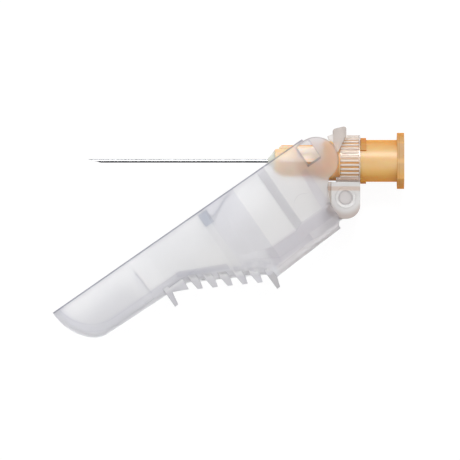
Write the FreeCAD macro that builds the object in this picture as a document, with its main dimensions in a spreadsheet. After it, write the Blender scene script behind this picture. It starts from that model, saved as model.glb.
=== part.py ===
"""Safety hypodermic needle: Luer hub, steel tube, adhesive, ribbed collar and hinged sheath.

Frame: the origin is the centre of the Luer socket's mouth. +X runs along the hub towards the
syringe, +Y points from the hinge towards the needle's axis, and +Z runs along the hinge pin. The
needle lies on its side, so +Z is up. Lengths are millimetres and angles degrees.
"""
import math
import os
import re

import FreeCAD
import Part
import Sketcher

SIZES = {
    # steel tube, lengths measured forwards from the socket's mouth
    "needle_reach": 44.3,
    "needle_radius": 0.257,
    "needle_bore": 0.13,
    "needle_seat": 11.6,
    "bevel_length": 1.95,
    "lancet_length": 1.1,
    "lancet_turn": 38,
    # hub, lengths measured forwards from the socket's mouth
    "mouth_radius": 2.15,
    "mouth_chamfer": 0.12,
    "socket_taper": 0.03,
    "socket_depth": 8.0,
    "lumen_radius": 0.85,
    "lumen_end": 10.4,
    "flange_thick": 0.98,
    "flange_radius": 3.91,
    "flange_flat": 3.0,
    "barrel_radius": 2.92,
    "lug_near": 5.3,
    "lug_far": 6.08,
    "lug_radius": 3.19,
    "lug_sweep": 62,
    "shoulder_radius": 2.76,
    "shoulder_step": 9.2,
    "flare_near": 11.2,
    "flare_far": 13.0,
    "core_radius": 1.85,
    "nose_reach": 18.04,
    "nose_radius": 1.68,
    "nose_chamfer": 0.15,
    "fin_radius": 2.18,
    "fin_thick": 0.4,
    "fin_reach": 17.45,
    "fin_round": 0.55,
    # adhesive in the hub's nose
    "well_radius": 0.95,
    "well_depth": 1.3,
    "bead_radius": 1.52,
    "bead_height": 0.98,
    "bead_top": 0.32,
    "glue_gap": 0.01,
    # collar, lengths measured forwards from the socket's mouth
    "collar_near": 6.14,
    "collar_far": 8.93,
    "collar_gap": 0.03,
    "ring_radius": 3.42,
    "rim_radius": 3.6,
    "rim_width": 0.2,
    "rib_count": 36,
    "rib_radius": 0.18,
    "rib_centre": 3.4,
    "ear_inner": 1.6,
    "ear_outer": 2.7,
    "ear_far": 10.18,
    "ear_top": 2.94,
    "ear_step_far": 9.5,
    "ear_step_top": 2.25,
    "ear_below": 2.95,
    "ear_round": 1.95,
    "skirt_reach": 0.65,
    "skirt_inset": 0.15,
    "lip_radius": 1.42,
    "lip_height": 0.14,
    "latch_inner": 2.6,
    "latch_outer": 3.55,
    "latch_far": 9.92,
    "latch_near": 8.08,
    "latch_top": 4.86,
    "latch_slope": 0.45,
    "latch_corner": 0.35,
    "latch_foot": 1.2,
    "latch_foot_far": 9.6,
    "latch_foot_near": 9.2,
    "hook_reach": 0.75,
    "hook_low": 2.8,
    "hook_height": 0.9,
    # hinge, placed forwards of the mouth and below the hub's axis
    "hinge_forward": 8.17,
    "hinge_drop": 5.13,
    "pin_radius": 0.94,
    "pin_gap": 0.05,
    "pin_inset": 0.08,
    "eye_radius": 1.32,
    "eye_half": 1.5,
    "open_angle": 34.85,
    # sheath, measured from the hinge: forwards along it, and up to its open edge
    "open_edge": 10.15,
    "wall": 0.65,
    "tip_reach": 42.68,
    "tip_half": 2.1,
    "tip_round": 1.75,
    "tip_bow": 7.6,
    "tip_bow_height": 6.85,
    "tip_chin": 3.4,
    "tip_chin_reach": 39.5,
    "tip_chin_height": 3.42,
    "belly_height": 3.03,
    "belly_near": 25.14,
    "belly_bend": 4.0,
    "slope_reach": 18.4,
    "slope_height": -0.7,
    "heel_half": 4.4,
    "heel_near": 2.8,
    "heel_reach": 7.0,
    "heel_shoulder": 0.7,
    "heel_keel_half": 3.6,
    "heel_keel_top": -1.15,
    "mid_half": 3.8,
    "mid_near": 8.2,
    "taper_near": 12.25,
    "mid_reach": 14.1,
    "mid_shoulder": 0.17,
    "mid_keel_half": 2.75,
    "mid_keel_top": -1.6,
    "bend_keel_half": 3.1,
    "bottom_drop": 2.98,
    "bottom_fall": 0.045,
    "keel_round": 1.1,
    "channel_shoulder": 2.0,
    "channel_keel_top": 1.5,
    "step_reach": 15.1,
    "step_height": -2.55,
    "taper_reach": 17.3,
    # open heel, its two round lobes and their windows
    "lobe_reach": 0.36,
    "lobe_height": 6.71,
    "lobe_radius": 3.14,
    "notch_reach": 2.25,
    "notch_height": -2.2,
    "notch_slope": 0.5,
    "heel_end": 3.0,
    "window_near": -0.35,
    "window_far": 1.62,
    "window_low": 6.75,
    "window_high": 9.63,
    "recess_floor": 0.3,
    # stop ribs on the heel's walls, and the web that carries the hinge eye
    "stop_half": 3.08,
    "stop_near": 2.25,
    "stop_top": 6.5,
    "stop_top_far": 2.7,
    "stop_low": 0.95,
    "stop_foot": 0.45,
    "stop_low_far": 3.72,
    "web_reach": 5.6,
    "web_height": 1.25,
    # ribs under the sheath
    "rib_half": 1.95,
    "rib_sink": 1.4,
    "tooth_count": 5,
    "tooth_pitch": 1.84,
    "tooth_fall": 1.018,
    "tooth_far": 24.33,
    "tooth_height": 2.58,
    "tooth_root": 1.06,
    "tooth_tip": 0.65,
    "tooth_depth": 1.28,
    "block_far": 27.4,
    "block_near": 25.25,
    "block_low": 2.02,
    "front_rib_far": 28.18,
    "front_rib_root": 0.87,
    "front_rib_tip": 0.52,
    "front_rib_low": 1.1,
    "rear_rib_near": 14.14,
    "rear_rib_root": 0.99,
    "rear_rib_tip": 0.5,
    "rear_rib_low": -4.97,
    "rear_rib_half": 2.45,
    # needle catch and small rib inside the channel
    "catch_near": 16.9,
    "catch_far": 18.3,
    "catch_low": 7.8,
    "catch_high": 9.65,
    "catch_half": 0.4,
    "catch_lead": 12.8,
    "catch_lead_height": 9.95,
    "brace_near": 29.95,
    "brace_far": 31.3,
    "brace_top": 8.6,
    "brace_half": 1.1,
}
SPARE = 3  # how far a cutting shape reaches past what it cuts

doc = FreeCAD.newDocument("safety_needle")
sheet = doc.addObject("Spreadsheet::Sheet", "Sizes")
for row, (alias, size) in enumerate(SIZES.items(), start=1):
    sheet.set(f"A{row}", alias)
    sheet.set(f"B{row}", str(size))
    sheet.setAlias(f"B{row}", alias)
doc.recompute()


def bound(expression):
    """The same expression, with each alias read from the sheet."""
    return re.sub(r"\b[a-z][a-z_]*\b", lambda word: "Sizes." + word.group(), expression)


def number(expression):
    """What an expression of sheet values comes to."""
    return float(sheet.evalExpression(expression))


def drive(item, name, expression):
    """Bind one property of an item to an expression of sheet values."""
    item.setExpression(name, bound(expression))


def new_body(name):
    """An empty body with its own label."""
    body = doc.addObject("PartDesign::Body", name)
    body.Label = name
    return body


def origin_item(body, role):
    """One of the body's own planes or axes."""
    return next(item for item in body.Origin.OriginFeatures if item.Role == role)


def new_sketch(body, name, plane="XY_Plane", offset="0", turn="0"):
    """A sketch on one of the body's planes, moved along its normal or turned about its X axis."""
    sketch = body.newObject("Sketcher::SketchObject", name)
    sketch.AttachmentSupport = [(origin_item(body, plane), "")]
    sketch.MapMode = "FlatFace"
    sketch.AttachmentOffset = FreeCAD.Placement(
        FreeCAD.Vector(0, 0, number(offset)), FreeCAD.Rotation(FreeCAD.Vector(1, 0, 0), number(turn))
    )
    if offset != "0":
        drive(sketch, "AttachmentOffset.Base.z", offset)
    if turn != "0":
        drive(sketch, "AttachmentOffset.Rotation.Angle", turn)
    return sketch


def bind_point(sketch, geometry, vertex, corner):
    """Hold a point of the sketch at two expressions from its origin."""
    for kind, expression in (("DistanceX", corner[0]), ("DistanceY", corner[1])):
        index = sketch.addConstraint(
            Sketcher.Constraint(kind, -1, 1, geometry, vertex, number(expression))
        )
        drive(sketch, f"Constraints[{index}]", expression)


def bind_radius(sketch, geometry, expression):
    """Hold the radius of a circle or an arc at an expression."""
    index = sketch.addConstraint(Sketcher.Constraint("Radius", geometry, number(expression)))
    drive(sketch, f"Constraints[{index}]", expression)


def circle(sketch, centre_x, centre_y, radius):
    """A full circle at two expressions, with its radius."""
    centre = FreeCAD.Vector(number(centre_x), number(centre_y), 0)
    ring = sketch.addGeometry(Part.Circle(centre, FreeCAD.Vector(0, 0, 1), number(radius)), False)
    bind_point(sketch, ring, 3, (centre_x, centre_y))
    bind_radius(sketch, ring, radius)


def round_corner(sketch, arriving, leaving, corner, spot, before, after):
    """Join two lines by a tangent arc, with the corner kept as a construction point."""
    radius = number(corner[2])
    half = before.getAngle(after) / 2
    centre = spot + (before + after).normalize() * (radius / math.sin(half))
    starts = [spot + way * (radius / math.tan(half)) - centre for way in (before, after)]
    turns_left = before.cross(after).z < 0
    first, last = starts if turns_left else starts[::-1]
    angles = [math.atan2(first.y, first.x), math.atan2(last.y, last.x)]
    ring = Part.Circle(centre, FreeCAD.Vector(0, 0, 1), radius)
    arc = sketch.addGeometry(Part.ArcOfCircle(ring, *angles), False)
    entry, leave = (1, 2) if turns_left else (2, 1)
    sketch.addConstraint(Sketcher.Constraint("Tangent", arriving, 2, arc, entry))
    sketch.addConstraint(Sketcher.Constraint("Tangent", arc, leave, leaving, 1))
    point = sketch.addGeometry(Part.Point(spot), True)
    sketch.addConstraint(Sketcher.Constraint("PointOnObject", point, 1, arriving))
    sketch.addConstraint(Sketcher.Constraint("PointOnObject", point, 1, leaving))
    bind_point(sketch, point, 1, corner)
    bind_radius(sketch, arc, corner[2])


def outline(sketch, corners):
    """A closed outline through corners (x, y) or (x, y, rounding), all given as expressions."""
    spots = [FreeCAD.Vector(number(corner[0]), number(corner[1]), 0) for corner in corners]
    count = len(corners)
    before = [(spots[i - 1] - spots[i]).normalize() for i in range(count)]
    after = [(spots[(i + 1) % count] - spots[i]).normalize() for i in range(count)]
    trims = [
        number(corner[2]) / math.tan(before[i].getAngle(after[i]) / 2) if len(corner) > 2 else 0
        for i, corner in enumerate(corners)
    ]
    lines = []
    for i in range(count):
        following = (i + 1) % count
        start = spots[i] + after[i] * trims[i]
        end = spots[following] + before[following] * trims[following]
        lines.append(sketch.addGeometry(Part.LineSegment(start, end), False))
    for i, corner in enumerate(corners):
        if len(corner) > 2:
            round_corner(sketch, lines[i - 1], lines[i], corner, spots[i], before[i], after[i])
        else:
            sketch.addConstraint(Sketcher.Constraint("Coincident", lines[i - 1], 2, lines[i], 1))
            bind_point(sketch, lines[i], 1, corner)


def box_outline(sketch, low_x, low_y, high_x, high_y):
    """A rectangle between two opposite corners."""
    outline(sketch, [(low_x, low_y), (high_x, low_y), (high_x, high_y), (low_x, high_y)])


def extrude(body, kind, name, sketch, length, both_sides=True, backwards=False):
    """A pad or a pocket of a sketch, by default half its length to each side."""
    feature = body.newObject(f"PartDesign::{kind}", name)
    feature.Profile = sketch
    feature.SideType = "Symmetric" if both_sides else "One side"
    feature.Reversed = backwards
    drive(feature, "Length", length)
    sketch.Visibility = False
    return feature


def turned(body, name, sketch, angle="360", backwards=False):
    """A solid turned about the body's X axis."""
    feature = body.newObject("PartDesign::Revolution", name)
    feature.Profile = sketch
    feature.ReferenceAxis = (origin_item(body, "X_Axis"), [""])
    feature.Reversed = backwards
    drive(feature, "Angle", angle)
    return feature


def repeated(body, name, feature, count):
    """Copies of a feature spread evenly round the body's X axis."""
    pattern = body.newObject("PartDesign::PolarPattern", name)
    pattern.Originals = [feature]
    pattern.Axis = (origin_item(body, "X_Axis"), [""])
    pattern.Angle = 360
    drive(pattern, "Occurrences", count)
    body.Tip = pattern
    return pattern


def mirrored(body, name, features):
    """Copies of features on the other side of the body's middle plane."""
    mirror = body.newObject("PartDesign::Mirrored", name)
    mirror.Originals = features
    mirror.MirrorPlane = (origin_item(body, "XY_Plane"), [""])
    body.Tip = mirror
    return mirror


def cut_away(name, base, tool):
    """One item less another, with its faces left as they meet."""
    cut = doc.addObject("Part::Cut", name)
    cut.Base = base
    cut.Tool = tool
    cut.Refine = False
    return cut


def rounded_edges(body, name, feature, chosen, radius):
    """A fillet of the edges whose middle point passes a test."""
    doc.recompute()
    edges = feature.Shape.Edges
    names = [f"Edge{i}" for i, edge in enumerate(edges, start=1) if chosen(edge)]
    fillet = body.newObject("PartDesign::Fillet", name)
    fillet.Base = (feature, names)
    drive(fillet, "Radius", radius)
    return fillet


def make_cannula():
    """Steel tube with a main bevel that faces down and two lancet facets at its point."""
    body = new_body("cannula")
    wall = new_sketch(body, "cannula_wall")
    box_outline(wall, "-needle_reach", "needle_bore", "-needle_seat", "needle_radius")
    turned(body, "cannula_tube", wall)
    low = "-needle_radius * 2"
    bevel = new_sketch(body, "cannula_bevel_line")
    outline(bevel, [
        ("-needle_reach - bevel_length / 2", "needle_radius * 2"),
        ("-needle_reach - bevel_length / 2", low),
        ("-needle_reach + bevel_length * 1.5", low),
    ])
    extrude(body, "Pocket", "cannula_bevel", bevel, "needle_radius * 4")
    for side, turn in (("near", "lancet_turn"), ("far", "-lancet_turn")):
        facet = new_sketch(body, f"cannula_{side}_facet_line", turn=turn)
        outline(facet, [
            ("-needle_reach - lancet_length / 2", "needle_radius * 2"),
            ("-needle_reach - lancet_length / 2", low),
            ("-needle_reach + lancet_length * 1.5", low),
        ])
        extrude(body, "Pocket", f"cannula_{side}_facet", facet, "needle_radius * 4")
    return body


def make_hub():
    """Luer socket, lock flange, barrel, shoulder and nose, turned as one, then its lugs and fins."""
    body = new_body("hub")
    bore = "needle_radius + glue_gap"
    socket_end = "mouth_radius - socket_taper * socket_depth"
    profile = new_sketch(body, "hub_profile")
    outline(profile, [
        ("-nose_reach", "well_radius"),
        ("-nose_reach", "nose_radius - nose_chamfer"),
        ("-nose_reach + nose_chamfer", "nose_radius"),
        ("-flare_far", "core_radius"),
        ("-flare_near", "shoulder_radius"),
        ("-shoulder_step", "shoulder_radius"),
        ("-shoulder_step", "barrel_radius"),
        ("-flange_thick", "barrel_radius"),
        ("-flange_thick", "flange_radius"),
        ("0", "flange_radius"),
        ("0", "mouth_radius + mouth_chamfer"),
        ("-mouth_chamfer", "mouth_radius"),
        ("-socket_depth", socket_end),
        ("-socket_depth", "lumen_radius"),
        ("-lumen_end", "lumen_radius"),
        ("-needle_seat", bore),
        ("-nose_reach + well_depth", bore),
        ("-nose_reach + well_depth", "well_radius"),
    ])
    turned(body, "hub_turned", profile)
    for side in ("near", "far"):
        sign = "" if side == "near" else "-"
        flat = new_sketch(body, f"hub_{side}_flat_line", "XZ_Plane")
        box_outline(flat, "-flange_thick", f"{sign}flange_flat", "0", f"{sign}flange_radius * 1.1")
        extrude(body, "Pocket", f"hub_{side}_flat", flat, "flange_radius * 3")
    lug = new_sketch(body, "hub_lug_line")
    box_outline(lug, "-lug_far", "barrel_radius * 0.95", "-lug_near", "lug_radius")
    repeated(body, "hub_lugs", turned(body, "hub_lug", lug, "lug_sweep"), "2")
    fin = new_sketch(body, "hub_fin_line")
    outline(fin, [
        ("-flare_near", "nose_radius * 0.8"),
        ("-fin_reach", "nose_radius * 0.8"),
        ("-fin_reach", "fin_radius", "fin_round"),
        ("-flare_near", "fin_radius"),
    ])
    repeated(body, "hub_fins", extrude(body, "Pad", "hub_fin", fin, "fin_thick"), "4")
    return body


def make_adhesive_bead():
    """Cured adhesive that fills the well in the hub's nose and rises in a cone round the tube."""
    body = new_body("adhesive_bead")
    bore = "needle_radius + glue_gap"
    profile = new_sketch(body, "adhesive_profile")
    outline(profile, [
        ("-nose_reach - bead_height", bore),
        ("-nose_reach - bead_height", "bead_top"),
        ("-nose_reach - bead_height / 2", "bead_radius * 0.62"),
        ("-nose_reach - glue_gap", "bead_radius"),
        ("-nose_reach - glue_gap", "well_radius - glue_gap"),
        ("-nose_reach + well_depth - glue_gap", "well_radius - glue_gap"),
        ("-nose_reach + well_depth - glue_gap", bore),
    ])
    turned(body, "adhesive_turned", profile)
    return body


def make_collar():
    """Ribbed ring with two hinge ears below it and two latch plates at its front upper edge."""
    body = new_body("collar")
    bore = "barrel_radius + collar_gap"
    ring = new_sketch(body, "collar_ring_line")
    outline(ring, [
        ("-collar_far", bore),
        ("-collar_far", "ring_radius"),
        ("-collar_near - rim_width", "ring_radius"),
        ("-collar_near - rim_width", "rim_radius"),
        ("-collar_near", "rim_radius"),
        ("-collar_near", bore),
    ])
    turned(body, "collar_ring", ring)
    rib = new_sketch(body, "collar_rib_line", "YZ_Plane", "-collar_near - rim_width / 2")
    circle(rib, "rib_centre", "0", "rib_radius")
    rib_length = "collar_far - collar_near - rim_width"
    one_rib = extrude(body, "Pad", "collar_rib", rib, rib_length, both_sides=False, backwards=True)
    repeated(body, "collar_ribs", one_rib, "rib_count")

    ears = (("ear", "0", "ear_outer"), ("skirt", "skirt_reach", "ear_outer - skirt_inset"))
    for name, further, half in ears:
        foot = "-hinge_drop - ear_below"
        ear = new_sketch(body, f"collar_{name}_line")
        outline(ear, [
            ("-collar_near", "-ear_step_top + 0.6"),
            ("-collar_far", "-ear_step_top + 0.6"),
            ("-collar_far", "-ear_step_top"),
            ("-ear_step_far", "-ear_step_top"),
            ("-ear_step_far", "-ear_top"),
            (f"-ear_far - {further}", "-ear_top"),
            (f"-ear_far - {further}", foot, "ear_round"),
            ("-collar_near", foot, "ear_round"),
        ])
        extrude(body, "Pad", f"collar_{name}s", ear, f"({half}) * 2")
    lip = new_sketch(body, "collar_lip_line", offset="ear_outer")
    circle(lip, "-hinge_forward", "-hinge_drop", "lip_radius")
    raised = extrude(body, "Pad", "collar_lip", lip, "lip_height", both_sides=False)
    mirrored(body, "collar_lips", [raised])
    slot = new_sketch(body, "collar_slot_line")
    box_outline(
        slot, "-ear_far - skirt_reach - 1", "-hinge_drop - ear_below - 1", "-collar_near + 1",
        "-rim_radius",
    )
    extrude(body, "Pocket", "collar_slot", slot, "ear_inner * 2")
    eye = new_sketch(body, "collar_eye_line")
    circle(eye, "-hinge_forward", "-hinge_drop", "pin_radius + pin_gap")
    extrude(body, "Pocket", "collar_eyes", eye, "ear_outer * 2 + 1")

    latch = new_sketch(body, "collar_latch_line", offset="latch_inner")
    outline(latch, [
        ("-latch_far", "latch_top - latch_slope", "latch_corner"),
        ("-latch_far", "hook_low + hook_height"),
        ("-latch_far - hook_reach", "hook_low + hook_height * 0.7"),
        ("-latch_far - hook_reach * 0.8", "hook_low + hook_height * 0.2"),
        ("-latch_far", "hook_low - hook_height * 0.3"),
        ("-latch_foot_far", "latch_foot"),
        ("-latch_foot_near", "latch_foot"),
        ("-latch_near", "rim_radius"),
        ("-latch_near", "latch_top", "latch_corner"),
    ])
    thick = "latch_outer - latch_inner"
    plate = extrude(body, "Pad", "collar_latch", latch, thick, both_sides=False)
    mirrored(body, "collar_latches", [plate])
    clear = new_sketch(body, "collar_bore_line", "YZ_Plane")
    circle(clear, "0", "0", bore)
    extrude(body, "Pocket", "collar_bore", clear, "ear_far * 4")
    return body


def section(body, name, reach, half, shoulder, keel_half, keel_top, bottom, rounding, top):
    """One cross-section of the sheath, seen along it: walls, shoulders and a rounded keel."""
    sketch = new_sketch(body, name, "YZ_Plane", f"-({reach})")
    outline(sketch, [
        (top, half),
        (shoulder, half),
        (keel_top, keel_half),
        (bottom, keel_half, rounding),
        (bottom, f"-({keel_half})", rounding),
        (keel_top, f"-({keel_half})"),
        (shoulder, f"-({half})"),
        (top, f"-({half})"),
    ])
    return sketch


def loft(body, name, sections):
    """A solid with straight sides between cross-sections."""
    feature = body.newObject("PartDesign::AdditiveLoft", name)
    feature.Profile = sections[0]
    feature.Sections = sections[1:]
    feature.Ruled = True
    return feature


def between(share, start, end):
    """An expression part of the way from one expression to another."""
    return f"({start}) + (({end}) - ({start})) * ({share})"


def sheath_sections(body, prefix, inset, top, near, step, step_low, end):
    """Cross-sections from the heel to the channel, either outside or inset by the wall.

    Inside, the last ones are a touch slimmer than the channel's own hollow, which they run into.
    """
    heel = (
        f"heel_half - {inset}", "heel_shoulder", f"heel_keel_half - {inset}", "heel_keel_top",
    )
    bend = (f"mid_half - {inset}", "mid_shoulder", f"bend_keel_half - {inset}", "mid_keel_top")
    middle = (
        f"mid_half - {inset}", "mid_shoulder", f"mid_keel_half - {inset}", "mid_keel_top",
    )
    channel_half = f"tip_half - {inset} * 1.05"
    channel = (channel_half, "channel_shoulder", channel_half, "channel_keel_top")
    keel_round = f"keel_round - {inset} / 2"
    tip_round = f"tip_round - {inset}"
    slope = "(belly_height - slope_height) / (belly_near - slope_reach)"

    def bottom(reach):
        return f"{inset} - bottom_drop - bottom_fall * ({reach})"

    def sloping(reach):
        return f"slope_height + {inset} * 1.25 + {slope} * (({reach}) - slope_reach)"

    def tapered(reach):
        share = f"(({reach}) - taper_near) / (taper_reach - taper_near)"
        return tuple(between(share, start, stop) for start, stop in zip(middle, channel))

    def eased(reach):
        share = f"(({reach}) - taper_near) / (taper_reach - taper_near)"
        return between(share, keel_round, tip_round)

    rows = [
        ("rear", near, heel, bottom(near), keel_round),
        ("heel", "heel_reach", heel, bottom("heel_reach"), keel_round),
        ("bend", "mid_near", bend, bottom("mid_near"), keel_round),
        ("middle", "taper_near", middle, bottom("taper_near"), keel_round),
        ("ramp", "mid_reach", tapered("mid_reach"), bottom("mid_reach"), keel_round),
        ("step", step, tapered(step), step_low, eased(step)),
        ("channel", "taper_reach", channel, sloping("taper_reach"), tip_round),
        ("end", end, channel, sloping(end), tip_round),
    ]
    return [
        section(body, f"{prefix}_{name}", reach, *widths, low, rounding, top)
        for name, reach, widths, low, rounding in rows
    ]


def channel_outline(sketch, inset, top, near, near_height):
    """The round-nosed channel seen from the side, outside or inset by the wall."""
    outline(sketch, [
        (f"-({near})", near_height),
        (f"-({near})", top),
        (f"-(tip_reach - {inset})", top),
        (f"-(tip_reach - {inset})", f"tip_bow_height + {inset} * 0.4", f"tip_bow - {inset}"),
        (
            f"-(tip_chin_reach - {inset} * 0.4)",
            f"tip_chin_height + {inset}",
            f"tip_chin - {inset}",
        ),
        (f"-(belly_near + {inset} * 0.25)", f"belly_height + {inset}", "belly_bend"),
    ])


def channel_edges(half, near, top):
    """A test for the side edges of the channel, all but those at its mouth and its near end."""
    def chosen(edge):
        box = edge.BoundBox
        on_side = abs(abs(box.ZMin) - half) < 1e-4 and box.ZLength < 1e-4
        at_top = box.YMin > top - 1e-4
        at_near = box.XMin > -near - 1e-4
        return on_side and not at_top and not at_near
    return chosen


def make_channel(body, prefix, inset, top, near, near_height):
    """The front of the sheath as a plate with rounded side edges."""
    side = new_sketch(body, f"{prefix}_side")
    channel_outline(side, inset, top, near, near_height)
    half = f"tip_half - {inset}"
    plate = extrude(body, "Pad", f"{prefix}_plate", side, f"({half}) * 2")
    chosen = channel_edges(number(half), number(near), number(top))
    return rounded_edges(body, f"{prefix}_round", plate, chosen, f"tip_round - {inset}")


def add_under_ribs(body):
    """Teeth, block and two long ribs across the underside of the sheath."""
    teeth = new_sketch(body, "sheath_teeth_line")
    for i in range(int(number("tooth_count"))):
        far = f"-(tooth_far - {i} * tooth_pitch)"
        root = f"tooth_height - {i} * tooth_fall"
        edge = "(tooth_root - tooth_tip)"
        fall = "tooth_root * tooth_fall / tooth_pitch"
        outline(teeth, [
            (far, f"{root} + rib_sink"),
            (far, root),
            (f"{far} + {edge} * 0.35", f"{root} - tooth_depth"),
            (f"{far} + {edge} * 0.35 + tooth_tip", f"{root} - tooth_depth - {fall} / 2"),
            (f"{far} + tooth_root", f"{root} - {fall}"),
            (f"{far} + tooth_root", f"{root} - {fall} + rib_sink"),
        ])
    extrude(body, "Pad", "sheath_teeth", teeth, "rib_half * 2")

    block = new_sketch(body, "sheath_block_line")
    outline(block, [
        ("-block_far", "belly_height"),
        ("-block_near", "block_low"),
        ("-block_near + 0.2", "belly_height + rib_sink / 2"),
        ("-block_far", "belly_height + rib_sink / 2"),
    ])
    extrude(body, "Pad", "sheath_block", block, "rib_half * 2")

    front = new_sketch(body, "sheath_front_rib_line")
    outline(front, [
        ("-front_rib_far", "belly_height + rib_sink"),
        ("-front_rib_far", "front_rib_low"),
        ("-front_rib_far + front_rib_tip", "front_rib_low"),
        ("-front_rib_far + front_rib_root", "belly_height"),
        ("-front_rib_far + front_rib_root", "belly_height + rib_sink"),
    ])
    extrude(body, "Pad", "sheath_front_rib", front, "rib_half * 2")

    rear = new_sketch(body, "sheath_rear_rib_line")
    outline(rear, [
        ("-rear_rib_near - rear_rib_root", "step_height + rib_sink / 2"),
        ("-rear_rib_near - rear_rib_root", "step_height"),
        ("-rear_rib_near - rear_rib_root + 0.05", "rear_rib_low"),
        ("-rear_rib_near - rear_rib_root + 0.05 + rear_rib_tip", "rear_rib_low"),
        ("-rear_rib_near", "-bottom_drop - bottom_fall * rear_rib_near"),
        ("-rear_rib_near", "step_height + rib_sink / 2"),
    ])
    extrude(body, "Pad", "sheath_rear_rib", rear, "rear_rib_half * 2")


def cut_heel(body):
    """Open the heel behind the hub, notch it round the hinge, and add the two lobes.

    The near lobe has a window right through, and the far one a recess in its inner face.
    """
    high = f"open_edge + {SPARE}"
    low = f"-bottom_drop - {SPARE}"
    back = f"heel_near + {SPARE}"
    notch = new_sketch(body, "sheath_notch_line")
    outline(notch, [
        ("-lobe_reach", high),
        ("-lobe_reach", "lobe_height - lobe_radius"),
        ("-lobe_reach - 0.95", "lobe_height - lobe_radius - 1", "0.9"),
        ("-notch_reach", "0.5", "2.4"),
        ("-notch_reach", "notch_height + notch_slope"),
        ("-heel_end", "notch_height - notch_slope"),
        ("-heel_end", low),
        (back, low),
        (back, high),
    ])
    extrude(body, "Pocket", "sheath_notch", notch, "heel_half * 4")
    lobe = new_sketch(body, "sheath_lobe_line", offset="heel_half - wall")
    circle(lobe, "-lobe_reach", "lobe_height", "lobe_radius")
    disc = extrude(body, "Pad", "sheath_lobe", lobe, "wall", both_sides=False)
    mirrored(body, "sheath_lobes", [disc])
    openings = (("window", "heel_half - wall - 0.5", "wall + 1"), ("recess", "recess_floor - heel_half", "wall"))
    for name, offset, depth in openings:
        opening = new_sketch(body, f"sheath_{name}_line", offset=offset)
        box_outline(opening, "-window_far", "window_low", "-window_near", "window_high")
        extrude(
            body, "Pocket", f"sheath_{name}", opening, depth, both_sides=False, backwards=True,
        )


def add_hinge(body):
    """Web, eye and pin that turn between the collar's ears."""
    web = new_sketch(body, "sheath_web_line")
    outline(web, [
        ("0", "web_height"),
        ("-notch_reach", "web_height"),
        ("-web_reach", "notch_height"),
        ("-web_reach", "wall / 2 - bottom_drop - bottom_fall * web_reach"),
        ("-heel_end", "wall / 2 - bottom_drop - bottom_fall * heel_end"),
        ("-heel_end", "notch_height"),
        ("-eye_radius", "notch_height"),
        ("eye_radius * 0.66", "-eye_radius * 0.74"),
    ])
    extrude(body, "Pad", "sheath_web", web, "eye_half * 2")
    eye = new_sketch(body, "sheath_eye_line")
    circle(eye, "0", "0", "eye_radius")
    extrude(body, "Pad", "sheath_eye", eye, "eye_half * 2")
    pin = new_sketch(body, "sheath_pin_line")
    circle(pin, "0", "0", "pin_radius")
    extrude(body, "Pad", "sheath_pin", pin, "(ear_outer - pin_inset) * 2")


def add_inner_ribs(body):
    """Stop ribs on the heel's walls, the needle catch, and a small brace in the channel."""
    stop = new_sketch(body, "sheath_stop_line", offset="stop_half")
    outline(stop, [
        ("-stop_near", "stop_top - 0.4"),
        ("-stop_near", "stop_foot"),
        ("-stop_low_far", "stop_foot"),
        ("-stop_low_far", "stop_low"),
        ("-stop_top_far", "stop_top"),
    ])
    stop_pad = extrude(
        body, "Pad", "sheath_stop", stop, "heel_half - wall / 2 - stop_half", both_sides=False
    )
    mirrored(body, "sheath_stops", [stop_pad])

    inner = "tip_half - wall / 2"
    catch = new_sketch(body, "sheath_catch_line", offset="catch_half")
    outline(catch, [
        ("-catch_far", "catch_low"),
        ("-catch_far", "catch_high - 0.15"),
        ("-catch_near", "catch_high"),
        ("-catch_near", "catch_low + 0.6"),
        ("-catch_lead", "catch_lead_height"),
        ("-catch_lead", "catch_lead_height - 0.2"),
        ("-catch_near", "catch_low"),
    ])
    finger = extrude(body, "Pad", "sheath_catch", catch, f"{inner} - catch_half", both_sides=False)
    mirrored(body, "sheath_catches", [finger])

    brace = new_sketch(body, "sheath_brace_line", offset="brace_half")
    outline(brace, [
        ("-brace_near", "brace_top"),
        ("-brace_far", "belly_height + wall + 1"),
        ("-brace_far", "belly_height + wall"),
        ("-brace_near", "belly_height + wall"),
    ])
    wedge = extrude(body, "Pad", "sheath_brace", brace, f"{inner} - brace_half", both_sides=False)
    mirrored(body, "sheath_braces", [wedge])


def make_sheath():
    """Frosted sheath, built closed with the hinge at its origin, then turned to stand open."""
    blank = new_body("sheath_blank")
    make_channel(blank, "sheath_front", "0", "open_edge", "slope_reach", "slope_height")
    loft(blank, "sheath_rear", sheath_sections(
        blank, "sheath_outer", "0", "open_edge", "-heel_near", "step_reach", "step_height",
        "slope_reach",
    ))
    add_under_ribs(blank)

    high = f"open_edge + {SPARE}"
    near = "slope_reach - 0.3"
    channel_core = new_body("sheath_channel_core")
    make_channel(
        channel_core, "core_front", "wall", high, near, "slope_height + wall * 1.15 - 0.17"
    )
    heel_core = new_body("sheath_heel_core")
    loft(heel_core, "core_rear", sheath_sections(
        heel_core, "sheath_inner", "wall", high, f"-heel_near - {SPARE}", "step_reach - 0.2",
        "step_height + wall", "slope_reach + 0.2",
    ))
    open_heel = cut_away("sheath_open_heel", blank, heel_core)
    shell = cut_away("sheath_shell", open_heel, channel_core)
    doc.recompute()

    body = new_body("sheath")
    body.BaseFeature = shell
    cut_heel(body)
    add_hinge(body)
    add_inner_ribs(body)
    for feature in body.Group:
        if hasattr(feature, "Refine"):
            feature.Refine = False  # merging its faces spoils the thin walls where they meet
    body.Placement = FreeCAD.Placement(
        FreeCAD.Vector(), FreeCAD.Rotation(FreeCAD.Vector(0, 0, 1), number("open_angle"))
    )
    drive(body, "Placement.Base.x", "-hinge_forward")
    drive(body, "Placement.Base.y", "-hinge_drop")
    drive(body, "Placement.Rotation.Angle", "open_angle")
    return body


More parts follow.
